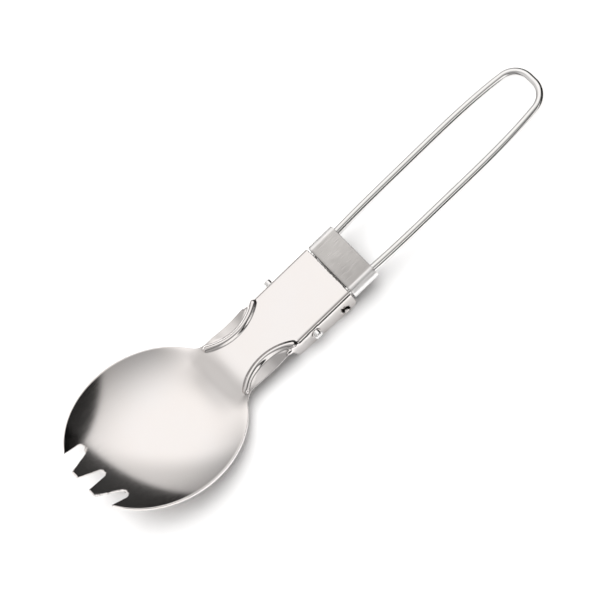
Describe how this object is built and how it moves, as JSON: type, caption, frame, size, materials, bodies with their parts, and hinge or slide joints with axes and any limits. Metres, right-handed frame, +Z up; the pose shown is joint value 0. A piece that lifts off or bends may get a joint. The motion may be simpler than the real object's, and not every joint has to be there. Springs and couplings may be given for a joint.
{
  "type": "folding spork",
  "caption": "Folding spork: pressed sheet bowl with four tines and a channel neck, wire loop handle that folds under it, and a sliding lock sleeve.",
  "frame": {"origin": "middle of the overall length, on the centre plane, at the height of the table it lies on", "axes": "+X along the spork towards the loop end of the handle, +Y to its left, +Z up out of the bowl"},
  "size_m": [0.161, 0.0452, 0.0117],
  "materials": {
    "satin_sheet": "satin polished stainless sheet",
    "polished_wire": "polished stainless wire",
    "brushed_sleeve": "brushed stainless tube"
  },
  "bodies": {
    "head": {"spork_head": "satin_sheet"},
    "handle": {"wire_handle": "polished_wire"},
    "sleeve": {"lock_sleeve": "brushed_sleeve"}
  },
  "joints": [
    {"name": "handle_fold", "type": "hinge", "parent": "head", "child": "handle", "pos_m": [-0.00819, 0, 0.00389], "axis": [0, 1, 0], "range_deg": [0, 168]},
    {"name": "sleeve_slide", "type": "slide", "parent": "handle", "child": "sleeve", "axis": [0.9972, 0, 0.075], "range_m": [0, 0.048]}
  ]
}
